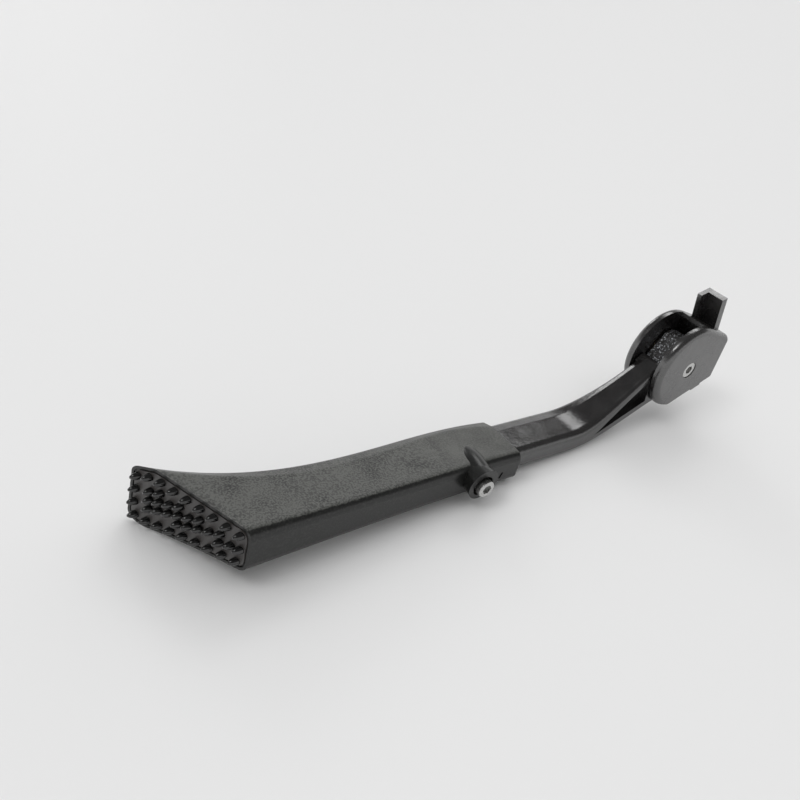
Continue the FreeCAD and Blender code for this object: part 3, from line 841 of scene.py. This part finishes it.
@dataclass
class Studio:
    """Pale floor and backdrop, soft lamps, small lamps for glints, and the camera."""

    floor_half: float = 30.0
    floor_roughness: float = 0.55
    floor_gloss: float = 0.2
    floor_colour: tuple[float, float, float] = (0.765, 0.765, 0.765)
    backdrop_glow: float = 0.95
    backdrop_rim: tuple[float, float] = (0.22, 0.42)
    ceiling_glow: float = 0.13
    soft_from: tuple[float, float, float] = (0.25, 0.3, 0.92)
    soft_strength: float = 1.75
    fill_from: tuple[float, float, float] = (-0.5, -0.6, 0.6)
    fill_strength: float = 0.5
    soft_spread: float = 110.0
    spark_from: tuple[float, float, float] = (0.51, 0.46, 0.73)
    spark_strength: float = 0.3
    spark_spread: float = 21.0
    point_from: tuple[float, float, float] = (-0.6, 0.1, 0.79)
    point_strength: float = 0.5
    point_spread: float = 20.0
    bevel_from: tuple[float, float, float] = (0.19, 0.89, 0.41)
    bevel_strength: float = 0.22
    bevel_spread: float = 15.0
    lens: float = 38.25
    sensor: float = 36.0
    nearest: float = 0.01
    eye: tuple[float, float, float] = (-318.73, -249.08, 273.36)
    ahead: tuple[float, float, float] = (0.575, 0.6137, -0.5411)
    upward: tuple[float, float, float] = (0.1754, 0.5535, 0.8142)

    def build(self) -> None:
        """Builds floor, light and camera."""
        self.floor()
        self.light()
        self.camera()
        bpy.context.scene.view_settings.view_transform = "Standard"

    def floor(self) -> None:
        """Large pale floor at Z zero."""
        half = self.floor_half
        mesh = bpy.data.meshes.new("floor")
        mesh.from_pydata([(-half, -half, 0), (half, -half, 0), (half, half, 0), (-half, half, 0)], [],
                         [(0, 1, 2, 3)])
        floor = bpy.data.objects.new("floor", mesh)
        bpy.context.scene.collection.objects.link(floor)
        material = bpy.data.materials.new("floor_paint")
        material.use_nodes = True
        surface = material.node_tree.nodes["Principled BSDF"]
        surface.inputs["Base Color"].default_value = (*self.floor_colour, 1.0)
        surface.inputs["Roughness"].default_value = self.floor_roughness
        surface.inputs["Specular IOR Level"].default_value = self.floor_gloss
        mesh.materials.append(material)

    def light(self) -> None:
        """Soft lamps that no surface mirrors, small lamps for the glints, and the room."""
        for name, source, strength in (("soft_lamp", self.soft_from, self.soft_strength),
                                       ("fill_lamp", self.fill_from, self.fill_strength)):
            self.lamp(name, source, strength, self.soft_spread).visible_glossy = False
        self.lamp("point_lamp", self.point_from, self.point_strength, self.point_spread)
        self.lamp("spark_lamp", self.spark_from, self.spark_strength, self.spark_spread)
        self.lamp("bevel_lamp", self.bevel_from, self.bevel_strength, self.bevel_spread)
        self.room()

    def room(self) -> None:
        """Low pale backdrop all round under a dim ceiling."""
        world = bpy.data.worlds.new("studio")
        world.use_nodes = True
        nodes = world.node_tree.nodes
        links = world.node_tree.links
        room = nodes["Background"]
        room.inputs["Color"].default_value = (1.0, 1.0, 1.0, 1.0)
        toward = nodes.new("ShaderNodeTexCoord").outputs["Generated"]
        height = nodes.new("ShaderNodeSeparateXYZ")
        links.new(toward, height.inputs["Vector"])
        glow = nodes.new("ShaderNodeMapRange")
        glow.interpolation_type = "SMOOTHSTEP"
        low, high = self.backdrop_rim
        for name, number in (("From Min", low), ("From Max", high), ("To Min", self.backdrop_glow),
                             ("To Max", self.ceiling_glow)):
            glow.inputs[name].default_value = number
        links.new(height.outputs["Z"], glow.inputs["Value"])
        links.new(glow.outputs["Result"], room.inputs["Strength"])
        bpy.context.scene.world = world

    def lamp(self, name: str, source: tuple[float, float, float], strength: float,
             spread: float) -> bpy.types.Object:
        """Distant lamp.

        Args:
            name: name of the lamp.
            source: working-frame direction that the light comes from.
            strength: brightness.
            spread: width seen from the stand, in degrees.

        Returns:
            The lamp.
        """
        data = bpy.data.lights.new(name, "SUN")
        data.energy = strength
        data.angle = math.radians(spread)
        lamp = bpy.data.objects.new(name, data)
        bpy.context.scene.collection.objects.link(lamp)
        lamp.rotation_euler = STAND.direction(*source).to_track_quat("Z", "Y").to_euler()
        return lamp

    def camera(self) -> None:
        """Camera at the picture's angle."""
        data = bpy.data.cameras.new("camera")
        data.lens = self.lens
        data.sensor_width = self.sensor
        data.clip_start = self.nearest
        camera = bpy.data.objects.new("camera", data)
        bpy.context.scene.collection.objects.link(camera)
        back = -STAND.direction(*self.ahead)
        right = STAND.direction(*self.upward).cross(back).normalized()
        turn = Matrix((right, back.cross(right), back)).transposed()
        camera.matrix_world = Matrix.Translation(STAND.point(*self.eye)) @ turn.to_4x4()
        bpy.context.scene.camera = camera


def main() -> None:
    """Builds and dresses every sub-assembly in order."""
    logging.basicConfig(level=logging.INFO, format="%(message)s")
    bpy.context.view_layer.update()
    steel = TurnedMetal("zinc_steel", (0.62, 0.62, 0.61)).material()
    brass = TurnedMetal("turned_brass", (0.72, 0.52, 0.24)).material()
    Studio().build()
    Head().build(steel)
    Leg().build(brass)
    Foot().build(steel, brass)


if __name__ == "__main__":
    main()
